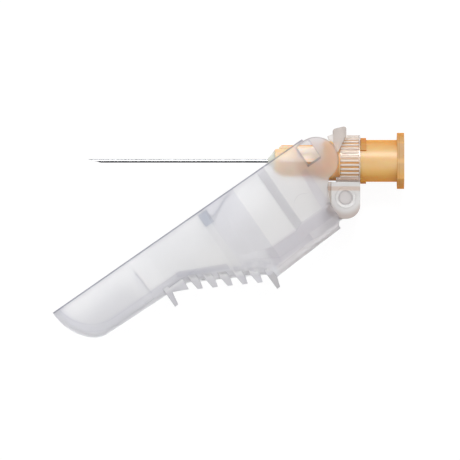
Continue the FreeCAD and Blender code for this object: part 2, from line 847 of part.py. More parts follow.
def check_document():
    """Stop if any object failed to rebuild."""
    for item in doc.Objects:
        if "Invalid" in item.State or "Error" in item.State:
            raise RuntimeError(f"{item.Name} did not rebuild: {item.State}")


def write_parts(bodies):
    """Check each piece and write it to its own file."""
    os.makedirs("parts", exist_ok=True)
    for body in bodies:
        shape = body.Shape
        if shape.isNull() or not shape.isValid():
            raise RuntimeError(f"{body.Label} has no valid shape")
        shape.exportStep(f"parts/{body.Label}.step")
        print(f"{body.Label}: {len(shape.Solids)} solid, {shape.Volume:.2f} cubic mm")


pieces = [make_cannula(), make_hub(), make_adhesive_bead(), make_collar(), make_sheath()]
doc.recompute()
check_document()
write_parts(pieces)
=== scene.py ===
"""Looks of the safety hypodermic needle: its materials, finer visible pieces, camera and light."""
import math

import bmesh
import bpy
from mathutils import Matrix, Vector


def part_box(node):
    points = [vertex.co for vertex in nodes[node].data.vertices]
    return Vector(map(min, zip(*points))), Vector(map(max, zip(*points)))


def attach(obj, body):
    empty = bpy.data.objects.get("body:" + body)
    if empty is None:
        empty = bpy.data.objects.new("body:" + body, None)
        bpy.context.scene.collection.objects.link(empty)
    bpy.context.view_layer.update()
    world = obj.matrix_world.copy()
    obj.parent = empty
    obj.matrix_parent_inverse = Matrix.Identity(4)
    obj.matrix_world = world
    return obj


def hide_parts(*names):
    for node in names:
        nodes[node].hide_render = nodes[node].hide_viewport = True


MM = 0.001

# camera, light and floor
PHOTO_SPAN = 64.17 * MM  # what the photograph's frame spans at the needle
PHOTO_CENTRE = (-24.27 * MM, -9.64 * MM)
CAMERA_HEIGHT = 1.5
SENSOR = 36.0
LAMP_AIM = (-0.024, -0.009, 0.0)
WORLD_LIGHT = 0.66
FLOOR_HEIGHT = -4.42 * MM
FLOOR_SIZE = 3.0
FLOOR_COLOUR = (0.85, 0.85, 0.86, 1.0)
FLOOR_GLOW = 1.05
FLOOR_GLOW_SHARE = 0.88  # how much of the floor glows to the eye, so that a shadow still shows

# the sheath's own axes, in millimetres: s runs from the hinge to the tip, t up to the open edge
OPEN_ANGLE = math.radians(34.85)
HINGE = (-8.17, -5.13)
OPEN_EDGE = 10.15
LOBE = (0.36, 6.71)
PIN_RADIUS = 1.02
TIP = (35.9, 10.5)  # centre of the tip's round borders
TIP_BORDER = (5.6, 5.72)  # radii over which the inner border sets in
BELLY_START, BELLY_HEIGHT = 18.4, -0.7  # where the belly starts to rise, in s and t
BELLY_RISE = 0.5534
BELLY_LOW, BELLY_HIGH = -2.75, 3.03
BAND_BORDER = (0.48, -7.13)  # rise over s and height at s = 0 of the band along the belly
STOP_BORDER = (-0.066, 3.65)  # the same for the stop in the heel, over t
TEETH_START = 14.0
TOOTH_FACES = (1.95, 2.45)  # the toothed plates' faces, off the middle plane
LEVEL = (0.99, 0.998)  # how squarely a level face looks up
MOULD_RING, MOULD_RING_RADIUS = (5.2, 2.6), 1.4

# collar and hub, in millimetres in the object's own axes
COLLAR_RIBS = 36.0
PLATE_FACE = (3.48, 3.52)  # where the latch plates' outer faces set in, off the middle plane
HOOK_START = (-9.9, -10.0)  # where the latches' hooks set in, along x
# the bright crescent is a painted highlight
PIN_CRESCENT = (1.08, 1.46)  # radii of the bright crescent under the pin
RIM_RADIUS = (2.98, 3.04)  # where the hub's lugs and flange stand out of its barrel

# how much light the plastics let through
LIGHT_THROUGH = 0.6  # share of the lamps' light that a thin wall doesn't stop
FROST_BODY = 0.16  # share of the sheath's wall that is milky, the rest is rough glass
FROST_MATT = 0.62  # share of the milky part that only reflects
COLLAR_MILK = 0.25  # milky share of the bare collar
COLLAR_RIB_MILK = 0.4  # what its ribs add to that
COLLAR_PLATE_MILK = 0.35  # what its plates and ears add
VALLEY_FADE = 0.75  # how much of the valleys' colour is lost where the light falls on the ring
HUB_GLOSS = 0.4  # gloss of the hub's level faces, less on its slopes

# colours at places of a ramp: clouds in each plastic, and painted shade by its slopes from upright, 0, to
# level, 1
FROST_CLOUD = ((0.3, (0.955, 0.957, 0.968)), (0.7, (0.985, 0.985, 0.99)))
# painted shade: the sheath's gently sloping faces greyer than its level walls
FROST_SLOPE_SHADE = (
    (0.86, (0.985, 0.985, 1.0)), (0.90, (0.96, 0.96, 0.975)), (0.96, (0.95, 0.95, 0.965)),
    (0.9955, (0.94, 0.94, 0.955)), (0.9988, (1.0, 1.0, 1.0)),
)
CLEAR_CLOUD = ((0.3, (0.93, 0.915, 0.905)), (0.7, (0.98, 0.97, 0.96)))
ORANGE_CLOUD = ((0.3, (0.745, 0.49, 0.215)), (0.7, (0.79, 0.53, 0.25)))
# painted shade: the hub's upright faces deeper orange than its level ones
ORANGE_SLOPE_SHADE = (
    (0.0, (0.95, 0.50, 0.10)), (0.45, (0.93, 0.64, 0.28)), (0.8, (0.96, 0.92, 0.8)),
    (0.95, (1.0, 1.0, 1.0)),
)
STEEL_LINES = ((0.3, (0.50, 0.51, 0.53)), (0.7, (0.62, 0.63, 0.65)))
ADHESIVE_CLOUD = ((0.3, (0.86, 0.89, 0.76)), (0.7, (0.95, 0.95, 0.87)))

# what a plastic's colour is multiplied by where the mask of the same name holds
SHEATH_SHADES = {
    # painted shade: the wall greyer lower down, from the open edge to just above the keel
    "low_wall_shade": (0.955, 0.95, 0.94),
    # painted shade on the heel's slope from the shoulder down to the keel
    "shoulder": (0.91, 0.90, 0.915),
    "keel": (1.0, 0.98, 0.965),
    "stop": (0.94, 0.935, 0.96),
    # painted shade on the step across the heel, where the wall slopes in
    "heel_step_shade": (0.92, 0.92, 0.925),
    "catch": (0.80, 0.82, 0.86),
    "catch_ramp": (0.93, 0.94, 0.96),
    "brace": (0.86, 0.86, 0.885),
    # painted shadow: a soft shade beside the brace, on the tip's side
    "brace_shadow": (0.965, 0.965, 0.975),
    "thick_strip": (0.955, 0.955, 0.96),
    "middle": (0.98, 0.98, 0.98),
    "band": (0.93, 0.93, 0.94),
    "band_creases": (0.93, 0.93, 0.94),
    "upper_band": (0.92, 0.92, 0.935),
    # painted shade: the tip's inner flat darker towards its foot
    "low_tip_shade": (0.92, 0.92, 0.93),
    "teeth": (0.73, 0.725, 0.755),
    "rear_tooth": (0.80, 0.79, 0.77),
    "mottle": (0.90, 0.90, 0.915),
    "floor_line": (0.86, 0.86, 0.87),
    "keel_line": (0.88, 0.88, 0.89),
    "mould_ring": (0.87, 0.87, 0.88),
    "window_left": (0.74, 0.75, 0.81),
    "window_foot": (0.60, 0.61, 0.68),
    "window_right": (0.88, 0.88, 0.92),
    "lobe": (0.88, 0.825, 0.82),
    "lobe_outline": (0.76, 0.73, 0.735),
    "pin": (0.87, 0.835, 0.83),
    "sharp_edges": (0.76, 0.76, 0.785),
    "open_rim": (0.52, 0.52, 0.58),
}
COLLAR_SHADES = {
    "latch_plate": (0.68, 0.63, 0.60),
    "latch_hook": (0.90, 0.88, 0.87),
    # painted highlights: lighter streaks on the latch plates
    "latch_highlights": (1.12, 1.13, 1.14),
    "bar": (0.82, 0.72, 0.655),
    "ear": (0.85, 0.855, 0.86),
    # painted light: a warm band across the ears
    "warm_light_band": (0.93, 0.80, 0.72),
    "skirt": (0.83, 0.75, 0.69),
    "round_edge": (0.76, 0.68, 0.64),
    "sharp_edges": (0.76, 0.73, 0.71),
}
HUB_SHADES = {
    # painted shade: the hub deeper orange on its lower side
    "low_side_shade": (1.06, 0.96, 0.56),
    "lug": (0.80, 0.64, 0.44),
    "flange_foot": (0.9, 0.78, 0.6),
    "flange": (0.80, 0.79, 0.84),
}
HUB_EDGE_SHADE = (0.90, 0.64, 0.34)
STEEL_SHADES = {
    # painted reflection: a dark streak along the tube's lower side
    "dark_reflection": (0.07, 0.07, 0.075),
    # painted reflection: a grey line along the tube's upper edge
    "upper_edge_reflection": (0.5, 0.5, 0.52),
}

# colours that cover a plastic's own where a mask holds, on the hub each with its strength
# partly the hub's orange seen through the ribs, partly painted shade
VALLEY_HUB_AND_SHADE = (0.72, 0.37, 0.11)
# partly the ribs' milky plastic, partly a painted highlight
CREST_MILK_AND_HIGHLIGHT = (0.80, 0.715, 0.645)
# painted highlight: a white crescent under the pin
CRESCENT_HIGHLIGHT = (1.0, 0.995, 0.99)
HUB_COVERS = {
    # painted highlight: pale cream on the nose's upper side
    "nose_highlight": (0.65, (0.92, 0.76, 0.55)),
    # painted highlight: pale cream on the nose's upper side under the window
    "window_highlight": (0.85, (0.84, 0.77, 0.70)),
    # painted light: brighter orange on the nose's lower side, lifting its shade
    "lower_nose_light": (0.85, (1.0, 0.62, 0.34)),
    # painted light: brighter orange on the narrow part behind the nose, lifting the shade between the
    # sheath's lobe and the collar
    "neck_light": (0.95, (1.0, 0.55, 0.25)),
    "fin": (1.0, (0.88, 0.76, 0.66)),
    "fin_edge": (1.0, (0.80, 0.42, 0.12)),
}

# steel tube and adhesive, in millimetres
ROUND_SIDES = 64
ROUND_ANGLE = 30
TUBE_BORE = 0.13
BEVEL_LENGTH = 1.95
LANCET_LENGTH = 1.1
LANCET_TURN = math.radians(38)
BEAD_TIP = 0.32
BEAD_FOOT = 1.52
BEAD_HOLLOW = 0.06  # how far its slope sinks in
BEAD_STEPS = 12
BEAD_GAP = 0.005  # between the tube and the adhesive
SEAT_GAP = 0.01  # between the hub's nose and the adhesive's foot
WELL_RADIUS = 0.94
NOSE_REACH = 18.04

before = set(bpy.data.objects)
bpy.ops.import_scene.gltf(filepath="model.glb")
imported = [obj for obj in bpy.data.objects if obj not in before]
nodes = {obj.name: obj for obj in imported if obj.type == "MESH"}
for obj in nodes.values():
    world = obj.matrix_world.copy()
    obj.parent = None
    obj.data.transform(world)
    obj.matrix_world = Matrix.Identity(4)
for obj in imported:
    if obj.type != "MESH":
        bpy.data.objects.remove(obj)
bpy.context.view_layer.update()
scene = bpy.context.scene


class Tree:
    """Short calls for a material's nodes."""

    def __init__(self, name):
        self.material = bpy.data.materials.new(name)
        self.material.use_nodes = True
        self.tree = self.material.node_tree
        self.tree.nodes.clear()
        self.output = self.add("ShaderNodeOutputMaterial")

    def add(self, kind, settings=None, **inputs):
        """A node with its settings and inputs. An input is a value or another node's socket."""
        node = self.tree.nodes.new(kind)
        for key, value in (settings or {}).items():
            setattr(node, key, value)
        for key, value in inputs.items():
            self.feed(node.inputs[key.replace("_", " ")], value)
        return node

    def feed(self, socket, value):
        """Link a socket into another, or set its own value."""
        if isinstance(value, bpy.types.NodeSocket):
            self.tree.links.new(value, socket)
        else:
            socket.default_value = value

    def math(self, operation, first, second=0.0):
        """One arithmetic step."""
        node = self.add("ShaderNodeMath", {"operation": operation})
        self.feed(node.inputs[0], first)
        self.feed(node.inputs[1], second)
        return node.outputs[0]

    def slant(self, value, rise, start):
        """A value times a rise, plus a start: the height of a straight line over it."""
        return self.math("ADD", self.math("MULTIPLY", value, rise), start)

    def both(self, *masks):
        """Where all the masks hold."""
        result = masks[0]
        for mask in masks[1:]:
            result = self.math("MULTIPLY", result, mask)
        return result

    def step(self, value, low, high):
        """A smooth rise from 0 at low to 1 at high. It falls if high is under low."""
        flip = high < low
        node = self.add(
            "ShaderNodeMapRange", {"interpolation_type": "SMOOTHSTEP"}, Value=value,
            From_Min=min(low, high), From_Max=max(low, high),
            To_Min=1.0 if flip else 0.0, To_Max=0.0 if flip else 1.0,
        )
        return node.outputs[0]

    def band(self, value, low, high, soft):
        """1 between low and high, with soft borders."""
        rise = self.step(value, low - soft / 2, low + soft / 2)
        fall = self.step(value, high + soft / 2, high - soft / 2)
        return self.both(rise, fall)

    def distance(self, first, second, centre=(0.0, 0.0)):
        """How far a pair of coordinates is from a centre."""
        squares = [
            self.math("POWER", self.math("ABSOLUTE", self.math("SUBTRACT", value, middle)), 2.0)
            for value, middle in zip((first, second), centre)
        ]
        return self.math("SQRT", self.math("ADD", *squares))

    def line(self, across, along, start, end, width):
        """1 on a straight line between two (along, across) points, with soft borders."""
        rise = (end[1] - start[1]) / (end[0] - start[0])
        here = self.slant(along, rise, start[1] - rise * start[0])
        off = self.math("ABSOLUTE", self.math("SUBTRACT", across, here))
        ends = sorted((start[0], end[0]))
        return self.both(self.step(off, width, 0.0), self.band(along, *ends, 0.2))

    def ramp(self, factor, stops):
        """A colour ramp through (place, colour) stops."""
        node = self.tree.nodes.new("ShaderNodeValToRGB")
        elements = node.color_ramp.elements
        while len(elements) < len(stops):
            elements.new(1.0)
        for element, (place, colour) in zip(elements, stops):
            element.position = place
            element.color = (*colour, 1.0)
        self.feed(node.inputs[0], factor)
        return node.outputs[0]

    def mix_colour(self, factor, first, second, blend="MIX"):
        """A mix of two colours. The node has its colour sockets at inputs 6 and 7 and output 2."""
        node = self.add("ShaderNodeMix", {"data_type": "RGBA", "blend_type": blend})
        self.feed(node.inputs[0], factor)
        self.feed(node.inputs[6], first)
        self.feed(node.inputs[7], second if not isinstance(second, tuple) else (*second, 1.0))
        return node.outputs[2]

    def tint(self, colour, mask, shade):
        """The colour multiplied by a shade where the mask holds."""
        return self.mix_colour(mask, colour, shade, "MULTIPLY")

    def tints(self, colour, masks, shades):
        """The colour multiplied by the shade of each mask's name where that mask holds."""
        for name, mask in masks.items():
            colour = self.tint(colour, mask, shades[name])
        return colour

    def noise(self, scale, detail=2.0, stretch=None):
        """Noise in the object's own space, by default the same in every direction."""
        place = self.add("ShaderNodeTexCoord").outputs["Object"]
        if stretch:
            place = self.add("ShaderNodeMapping", Vector=place, Scale=stretch).outputs[0]
        node = self.add("ShaderNodeTexNoise", Vector=place, Scale=scale, Detail=detail)
        return node.outputs["Fac"]

    def bump(self, height, distance, strength, rounding):
        """A bump from a height, on edges rounded by a radius, both in metres."""
        soft = self.add("ShaderNodeBevel", {"samples": 4}, Radius=rounding).outputs[0]
        node = self.add(
            "ShaderNodeBump", Height=height, Distance=distance, Strength=strength, Normal=soft,
        )
        return node.outputs[0]

    def edges(self, width, weak=0.998, strong=0.9):
        """1 within a width of a sharp edge, less at a blunt one, and 0 on the faces between."""
        soft = self.add("ShaderNodeBevel", {"samples": 6}, Radius=width).outputs[0]
        normal = self.add("ShaderNodeNewGeometry").outputs["Normal"]
        turn = self.add("ShaderNodeVectorMath", {"operation": "DOT_PRODUCT"})
        self.feed(turn.inputs[0], soft)
        self.feed(turn.inputs[1], normal)
        return self.step(turn.outputs["Value"], weak, strong)

    def facing(self):
        """How squarely a flat facet looks up or down, from 0 on an upright one to 1 on a level one."""
        normal = self.add("ShaderNodeNewGeometry").outputs["True Normal"]
        own = self.add(
            "ShaderNodeVectorTransform",
            {"vector_type": "NORMAL", "convert_from": "WORLD", "convert_to": "OBJECT"}, Vector=normal,
        )
        split = self.add("ShaderNodeSeparateXYZ", Vector=own.outputs[0])
        return self.math("ABSOLUTE", split.outputs["Z"])

    def place(self, turned=False):
        """Object coordinates in millimetres, for the sheath turned so that it lies along -X."""
        whole = self.add("ShaderNodeTexCoord").outputs["Object"]
        mapping = self.add("ShaderNodeMapping", Vector=whole, Scale=(1 / MM, 1 / MM, 1 / MM))
        if turned:
            cosine, sine = math.cos(OPEN_ANGLE), math.sin(OPEN_ANGLE)
            x, y = HINGE
            self.feed(mapping.inputs["Rotation"], (0.0, 0.0, -OPEN_ANGLE))
            self.feed(mapping.inputs["Location"], (-x * cosine - y * sine, x * sine - y * cosine, 0.0))
        split = self.add("ShaderNodeSeparateXYZ", Vector=mapping.outputs[0])
        return split.outputs["X"], split.outputs["Y"], split.outputs["Z"]

    def principled(self, colour, **inputs):
        """A Principled shader."""
        return self.add("ShaderNodeBsdfPrincipled", Base_Color=colour, **inputs)

    def mix_shader(self, factor, first, second):
        """A mix of two shaders."""
        node = self.add("ShaderNodeMixShader", Fac=factor)
        self.tree.links.new(first.outputs[0], node.inputs[1])
        self.tree.links.new(second.outputs[0], node.inputs[2])
        return node

    def pass_light(self, surface, colour):
        """Let a share of the lamps' light straight through a thin wall, onto what it covers."""
        path = self.add("ShaderNodeLightPath")
        clear = self.add("ShaderNodeBsdfTransparent", Color=colour)
        share = self.math("MULTIPLY", path.outputs["Is Shadow Ray"], LIGHT_THROUGH)
        return self.mix_shader(share, surface, clear)

    def finish(self, shader):
        """The material, with this shader on its surface."""
        self.tree.links.new(shader.outputs[0], self.output.inputs["Surface"])
        return self.material


# Masks by name. Their places are in millimetres, the sheath's in s and t. A step's two numbers are
# where it is 0 and where it is 1, and a band's three are its limits and how soft they are.
def heel_masks(tree, s, t):
    """Where the heel's wall has painted shade low down, on its slope from the shoulder to the keel and on
    the step across it, and where its keel and the stop are.
    """
    before_teeth = tree.step(s, TEETH_START - 0.3, TEETH_START - 0.9)
    before_stop = tree.step(tree.math("SUBTRACT", s, tree.slant(t, *STOP_BORDER)), 0.06, -0.06)
    on_wall = tree.step(t, 0.3, 0.6)
    return {
        # painted shade: the wall greyer lower down, from the open edge to just above the keel
        "low_wall_shade": tree.both(tree.step(t, 9.5, 1.0), tree.step(t, -2.4, -1.9)),
        # painted shade on the heel's slope from the shoulder down to the keel
        "shoulder": tree.both(tree.band(t, -2.225, 0.425, 0.25), before_teeth, tree.step(s, 0.4, 2.8)),
        "keel": tree.both(tree.step(t, -2.1, -2.4), before_teeth),
        "stop": tree.both(before_stop, tree.step(s, 2.15, 2.3), tree.step(t, 6.55, 6.4), on_wall),
        # painted shade on the step across the heel, where the wall slopes in
        "heel_step_shade": tree.both(tree.band(s, 7.05, 8.35, 0.1), on_wall, tree.step(t, 9.7, 9.4)),
    }


def channel_masks(tree, s, t):
    """Where the channel's wall has the needle catch, its ramp, the brace with a painted shadow beside it,
    or a thicker stretch.
    """
    # painted shadow: a soft shade beside the brace, on the tip's side
    brace_shadow = tree.both(tree.step(s, 29.9, 30.0), tree.step(s, 31.4, 30.2))
    return {
        "catch": tree.both(tree.band(s, 16.9, 18.3, 0.12), tree.band(t, 7.75, 9.7, 0.15)),
        "catch_ramp": tree.line(t, s, (12.7, 9.85), (16.8, 8.35), 0.2),
        "brace": tree.line(s, t, (4.5, 29.75), (8.0, 30.05), 0.14),
        "brace_shadow": tree.both(brace_shadow, tree.band(t, 5.0, 8.2, 1.5)),
        "thick_strip": tree.band(s, 17.3, 18.4, 0.2),
        "middle": tree.both(tree.step(s, 18.3, 19.0), tree.step(s, 27.3, 27.1)),
    }


def band_masks(tree, s, t, above):
    """Where the wall has the band that follows the belly and the tip, where it has creases, and painted
    shade low inside the tip.
    """
    outward = tree.distance(tree.math("MAXIMUM", s, TIP[0]), t, TIP)
    below = tree.math("SUBTRACT", tree.slant(s, *BAND_BORDER), t)
    clear_of_teeth = tree.math("MAXIMUM", tree.step(above, 0.1, 0.7), tree.step(s, 26.0, 27.0))
    band = tree.both(
        tree.step(below, -0.06, 0.06), tree.step(outward, *TIP_BORDER), tree.step(s, 18.8, 18.95),
        clear_of_teeth,
    )
    creases = tree.math("MAXIMUM", tree.band(outward, 5.62, 5.85, 0.1), tree.band(outward, 6.7, 6.85, 0.1))
    # painted shade: the tip's inner flat darker towards its foot
    low_tip_shade = tree.both(tree.step(s, 30.2, 33.0), tree.step(t, 9.0, 6.0))
    return {
        "band": band,
        "band_creases": tree.both(band, creases),
        "upper_band": tree.both(tree.band(below, 0.0, 0.9, 0.06), tree.band(s, 18.87, 25.5, 0.1)),
        "low_tip_shade": tree.both(tree.step(outward, *reversed(TIP_BORDER)), low_tip_shade),
    }


def tooth_masks(tree, s, above, z):
    """Where the toothed plates' flat faces are, and the clouded wall over the rear teeth."""
    off_middle = tree.math("ABSOLUTE", z)
    faces = [tree.band(off_middle, face - 0.05, face + 0.05, 0.02) for face in TOOTH_FACES]
    teeth = tree.both(
        tree.math("MAXIMUM", *faces), tree.step(tree.facing(), *LEVEL), tree.step(above, 0.8, 0.0),
        tree.step(s, TEETH_START, TEETH_START + 0.1),
    )
    cloudy = tree.step(tree.noise(900.0), 0.42, 0.62)
    return {
        "teeth": teeth,
        "rear_tooth": tree.both(teeth, tree.step(s, 15.6, 15.4), tree.step(above, 0.0, -0.2)),
        "mottle": tree.both(cloudy, tree.band(s, 12.5, 18.6, 1.0), tree.band(above, 0.2, 2.4, 0.8)),
    }


def mark_masks(tree, s, t):
    """Thin marks: the heel's hollow and keel seen through the wall, and part of a mould ring."""
    from_ring = tree.math("SUBTRACT", tree.distance(s, t, MOULD_RING), MOULD_RING_RADIUS)
    ring = tree.step(tree.math("ABSOLUTE", from_ring), 0.09, 0.0)
    return {
        "floor_line": tree.line(t, s, (13.15, -2.61), (8.72, -2.24), 0.09),
        "keel_line": tree.line(t, s, (7.53, -2.02), (4.03, -2.73), 0.1),
        "mould_ring": tree.both(ring, tree.step(t, 3.3, 3.75)),
    }


def window_masks(tree, s, t):
    """Where the walls round the window show through the plastic beside it."""
    return {
        "window_left": tree.both(tree.band(s, 1.6, 1.9, 0.08), tree.band(t, 6.5, 9.7, 0.1)),
        "window_foot": tree.both(tree.band(s, -0.35, 1.9, 0.1), tree.band(t, 6.45, 6.75, 0.08)),
        "window_right": tree.both(tree.band(s, -0.48, -0.33, 0.08), tree.band(t, 6.6, 9.6, 0.1)),
    }


def border_masks(tree, s, t):
    """Where the lobe, its outline, the pin, the sharp edges and the rim of the open edge are."""
    from_lobe = tree.distance(s, t, LOBE)
    outline = tree.both(tree.step(s, 1.7, 1.4), tree.step(t, 4.2, 4.6))
    return {
        "lobe": tree.step(from_lobe, 3.6, 1.8),
        "lobe_outline": tree.both(tree.band(from_lobe, 2.98, 3.3, 0.06), outline),
        "pin": tree.step(tree.distance(s, t), PIN_RADIUS, PIN_RADIUS - 0.06),
        "sharp_edges": tree.edges(0.22 * MM),
        "open_rim": tree.band(t, OPEN_EDGE - 0.2, OPEN_EDGE - 0.02, 0.02),
    }


def frosted_plastic():
    """Frosted translucent sheath: clearest on its flat walls, greyer where it thickens, with painted shade
    where it slopes and low on its walls, and a painted shadow beside its brace.
    """
    tree = Tree("frosted_polypropylene")
    x, t, z = tree.place(turned=True)
    s = tree.math("MULTIPLY", x, -1.0)
    belly = tree.slant(s, BELLY_RISE, BELLY_HEIGHT - BELLY_RISE * BELLY_START)
    belly = tree.math("MAXIMUM", tree.math("MINIMUM", belly, BELLY_HIGH), BELLY_LOW)
    above = tree.math("SUBTRACT", t, belly)
    masks = {
        **heel_masks(tree, s, t), **channel_masks(tree, s, t), **band_masks(tree, s, t, above),
        **tooth_masks(tree, s, above, z), **mark_masks(tree, s, t), **window_masks(tree, s, t),
        **border_masks(tree, s, t),
    }
    colour = tree.ramp(tree.noise(160.0, 3.0), FROST_CLOUD)
    # painted shade by slope
    colour = tree.tint(colour, 1.0, tree.ramp(tree.facing(), FROST_SLOPE_SHADE))
    colour = tree.tints(colour, masks, SHEATH_SHADES)

    grain = tree.bump(tree.noise(9000.0), distance=0.01 * MM, strength=0.2, rounding=0.1 * MM)
    glass = tree.principled(colour, Roughness=0.34, IOR=1.4, Normal=grain, Transmission_Weight=1.0)
    matt = tree.principled(colour, Roughness=0.5, IOR=1.45, Normal=grain)
    milk = tree.add("ShaderNodeBsdfTranslucent", Color=colour, Normal=grain)
    wall = tree.mix_shader(FROST_BODY, glass, tree.mix_shader(FROST_MATT, milk, matt))
    return tree.finish(tree.pass_light(wall, colour))


def ring_masks(tree, x, y, z, radius):
    """Where the collar's ribbed ring has its crests, pale with painted highlight, and its valleys, dark
    with painted shade, which fade above its middle.
    """
    wave = tree.math("COSINE", tree.math("MULTIPLY", tree.math("ARCTAN2", z, y), COLLAR_RIBS))
    ring = tree.both(
        tree.band(x, -9.0, -6.32, 0.06), tree.step(radius, 3.3, 3.38), tree.step(radius, 3.8, 3.65),
    )
    washed = tree.slant(tree.band(y, 0.2, 1.9, 0.9), -VALLEY_FADE, 1.0)
    crest = tree.both(ring, tree.step(wave, -0.2, 0.7))
    return crest, tree.both(ring, tree.step(wave, 0.15, -0.6), washed)


def latch_masks(tree, x, latch):
    """Where the latches have their plates, their hooks and streaks of painted highlight."""
    streaks = tree.step(tree.noise(420.0, 1.0, (1.0, 0.35, 0.35)), 0.45, 0.66)
    return {
        "latch_plate": tree.both(latch, tree.step(x, *reversed(HOOK_START))),
        "latch_hook": tree.both(latch, tree.step(x, *HOOK_START)),
        # painted highlights: lighter streaks on the latch plates
        "latch_highlights": tree.both(latch, streaks),
    }


def ear_masks(tree, x, y, from_pin):
    """Where the bar, the ears, their band of painted warm light, the skirt and the ears' round edges are.
    """
    ear = tree.step(y, -2.9, -3.0)
    around = tree.both(tree.step(from_pin, 1.5, 1.7), tree.step(x, -6.25, -6.4))
    return {
        "bar": tree.band(y, -2.94, -2.2, 0.06),
        "ear": ear,
        # painted light: a warm band across the ears
        "warm_light_band": tree.band(y, -4.15, -3.55, 0.2),
        "skirt": tree.both(ear, tree.step(x, -10.15, -10.21)),
        "round_edge": tree.both(tree.step(from_pin, 1.7, 2.6), tree.step(y, -5.4, -6.4)),
        "sharp_edges": tree.both(tree.edges(0.12 * MM, 0.99, 0.85), around),
    }


def clear_plastic():
    """Clear collar with a faint warm tint: ribs over the orange hub, milky latch plates and ears, with
    painted highlights and shade.
    """
    tree = Tree("clear_plastic")
    x, y, z = tree.place()
    radius = tree.distance(y, z)
    from_pin = tree.distance(x, y, HINGE)
    crest, valley = ring_masks(tree, x, y, z, radius)
    on_plate = tree.step(tree.math("ABSOLUTE", z), *PLATE_FACE)
    off_ring = tree.math("MAXIMUM", on_plate, tree.step(radius, 3.66, 3.7))
    latch = tree.both(off_ring, tree.step(y, 1.1, 1.2))
    masks = {**latch_masks(tree, x, latch), **ear_masks(tree, x, y, from_pin)}
    under_pin = tree.step(y, HINGE[1] - 0.2, HINGE[1] - 1.0)
    crescent = tree.both(tree.band(from_pin, *PIN_CRESCENT, 0.08), under_pin)
    colour = tree.ramp(tree.noise(500.0, stretch=(1.0, 0.3, 1.0)), CLEAR_CLOUD)
    # painted shade in the ring's valleys and a painted highlight on its crests, partly the hub's orange
    # and the ribs' milky plastic
    colour = tree.mix_colour(valley, colour, VALLEY_HUB_AND_SHADE)
    colour = tree.mix_colour(crest, colour, CREST_MILK_AND_HIGHLIGHT)
    colour = tree.tints(colour, masks, COLLAR_SHADES)
    # painted highlight: a white crescent under the pin
    colour = tree.mix_colour(crescent, colour, CRESCENT_HIGHLIGHT)

    normal = tree.bump(tree.noise(900.0), distance=0.03 * MM, strength=0.3, rounding=0.1 * MM)
    glass = tree.principled(colour, Roughness=0.14, IOR=1.46, Normal=normal, Transmission_Weight=1.0)
    milk = tree.principled(colour, Roughness=0.3, Normal=normal)
    ribs = tree.slant(tree.math("ADD", crest, valley), COLLAR_RIB_MILK, COLLAR_MILK)
    plates = tree.math("MULTIPLY", tree.math("ADD", masks["ear"], latch), COLLAR_PLATE_MILK)
    wall = tree.mix_shader(tree.math("ADD", ribs, plates), glass, milk)
    return tree.finish(tree.pass_light(wall, colour))


def hub_masks(tree, x, y, radius):
    """Where the hub has painted shade on its lower side, and where its retention lugs and its lock flange
    are.
    """
    rim = tree.step(radius, *RIM_RADIUS)
    return {
        # painted shade: the hub deeper orange on its lower side
        "low_side_shade": tree.step(y, -0.4, -2.4),
        "lug": tree.both(rim, tree.band(x, -6.2, -5.2, 0.04)),
        "flange_foot": tree.both(rim, tree.band(x, -0.78, -0.66, 0.06)),
        "flange": tree.both(rim, tree.step(x, -1.1, -1.0)),
    }


def nose_masks(tree, x, y, z, radius):
    """Where the hub's nose and its thin fins are, with painted highlights on the nose's upper side and
    painted light on its lower side and on the narrow part behind it.
    """
    nose = tree.step(x, -11.1, -12.2)
    off_middle = tree.math("ABSOLUTE", z)
    off_fins = tree.math("MINIMUM", tree.math("ABSOLUTE", y), off_middle)
    fin = tree.both(nose, tree.step(radius, 1.88, 1.94), tree.step(off_fins, 0.24, 0.22))
    return {
        # painted highlight: pale cream on the nose's upper side
        "nose_highlight": tree.both(nose, tree.step(y, -0.7, 0.5)),
        # painted highlight: pale cream on the nose's upper side under the window
        "window_highlight": tree.both(tree.band(x, -14.9, -11.3, 0.5), tree.step(y, -0.9, 0.4)),
        # painted light: brighter orange on the nose's lower side, lifting its shade
        "lower_nose_light": tree.both(tree.band(x, -18.6, -8.9, 0.6), tree.step(y, 0.5, -0.5)),
        # painted light: brighter orange on the narrow part behind the nose, lifting the shade between the
        # sheath's lobe and the collar
        "neck_light": tree.both(tree.band(x, -10.4, -8.9, 0.3), tree.step(radius, 2.0, 2.3)),
        "fin": fin,
        "fin_edge": tree.both(fin, tree.step(radius, 2.04, 2.08), tree.step(off_middle, 1.5, 1.3)),
    }


